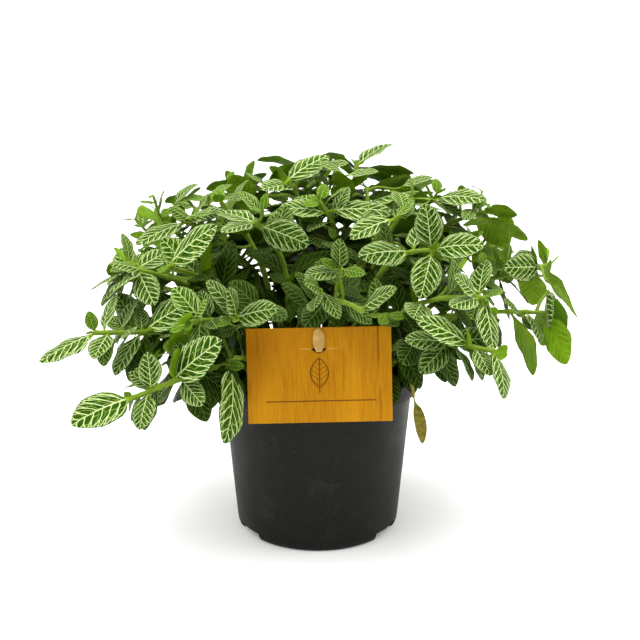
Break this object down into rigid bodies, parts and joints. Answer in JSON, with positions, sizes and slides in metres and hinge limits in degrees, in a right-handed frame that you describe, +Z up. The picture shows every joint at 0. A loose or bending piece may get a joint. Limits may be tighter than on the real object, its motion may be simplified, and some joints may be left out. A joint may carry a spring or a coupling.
{
  "type": "potted nerve plant",
  "caption": "Bushy nerve plant with white-veined leaves on hairy stems, in a round dark nursery pot of soil, with a plain wood-print card held on the rim by a peg",
  "frame": {"origin": "the middle of the pot's underside, in the plane that it stands on", "axes": "+Z up, -Y towards the front, where the card is, +X to the right seen from the front"},
  "size_m": [0.2979, 0.2633, 0.2135],
  "materials": {
    "pot_plastic": "matte, dark charcoal grey",
    "potting_soil": "crumbly and rough",
    "printed_card": "satin print of amber wood grain",
    "peg_plastic": "milky and slightly translucent",
    "leafy_stem": "satin leaf with pale veins"
  },
  "bodies": {
    "root": {"pot": "pot_plastic", "soil": "potting_soil", "label_card": "printed_card", "card_peg": "peg_plastic", "stem_left_far": "leafy_stem", "stem_left_low": "leafy_stem", "stem_left_mid": "leafy_stem", "stem_left_broad": "leafy_stem", "stem_left_high": "leafy_stem", "stem_left_back": "leafy_stem", "stem_crown_left": "leafy_stem", "stem_crown_back": "leafy_stem", "stem_crown": "leafy_stem", "stem_top": "leafy_stem", "stem_top_right": "leafy_stem", "stem_right_high": "leafy_stem", "stem_rosette": "leafy_stem", "stem_inner_right": "leafy_stem", "stem_front_sprig": "leafy_stem", "stem_right_far": "leafy_stem", "stem_right_mid": "leafy_stem", "stem_right_low": "leafy_stem", "stem_rim_right": "leafy_stem", "stem_right_hang": "leafy_stem", "stem_front_right": "leafy_stem", "stem_front_left": "leafy_stem", "stem_front": "leafy_stem", "stem_side_right": "leafy_stem", "stem_rim_left": "leafy_stem", "stem_back_1": "leafy_stem", "stem_back_2": "leafy_stem", "stem_back_3": "leafy_stem", "stem_back_4": "leafy_stem", "stem_back_5": "leafy_stem", "stem_back_6": "leafy_stem", "stem_back_7": "leafy_stem", "stem_back_8": "leafy_stem", "stem_back_9": "leafy_stem", "stem_left_edge": "leafy_stem", "stem_back_10": "leafy_stem", "stem_back_11": "leafy_stem", "stem_fill_1": "leafy_stem", "stem_fill_2": "leafy_stem", "stem_fill_3": "leafy_stem", "stem_fill_4": "leafy_stem", "stem_fill_5": "leafy_stem", "stem_fill_6": "leafy_stem", "stem_fill_7": "leafy_stem", "stem_fill_8": "leafy_stem", "stem_back_12": "leafy_stem", "stem_back_13": "leafy_stem", "stem_fill_9": "leafy_stem", "stem_fill_10": "leafy_stem", "stem_fill_11": "leafy_stem"}
  },
  "joints": []
}
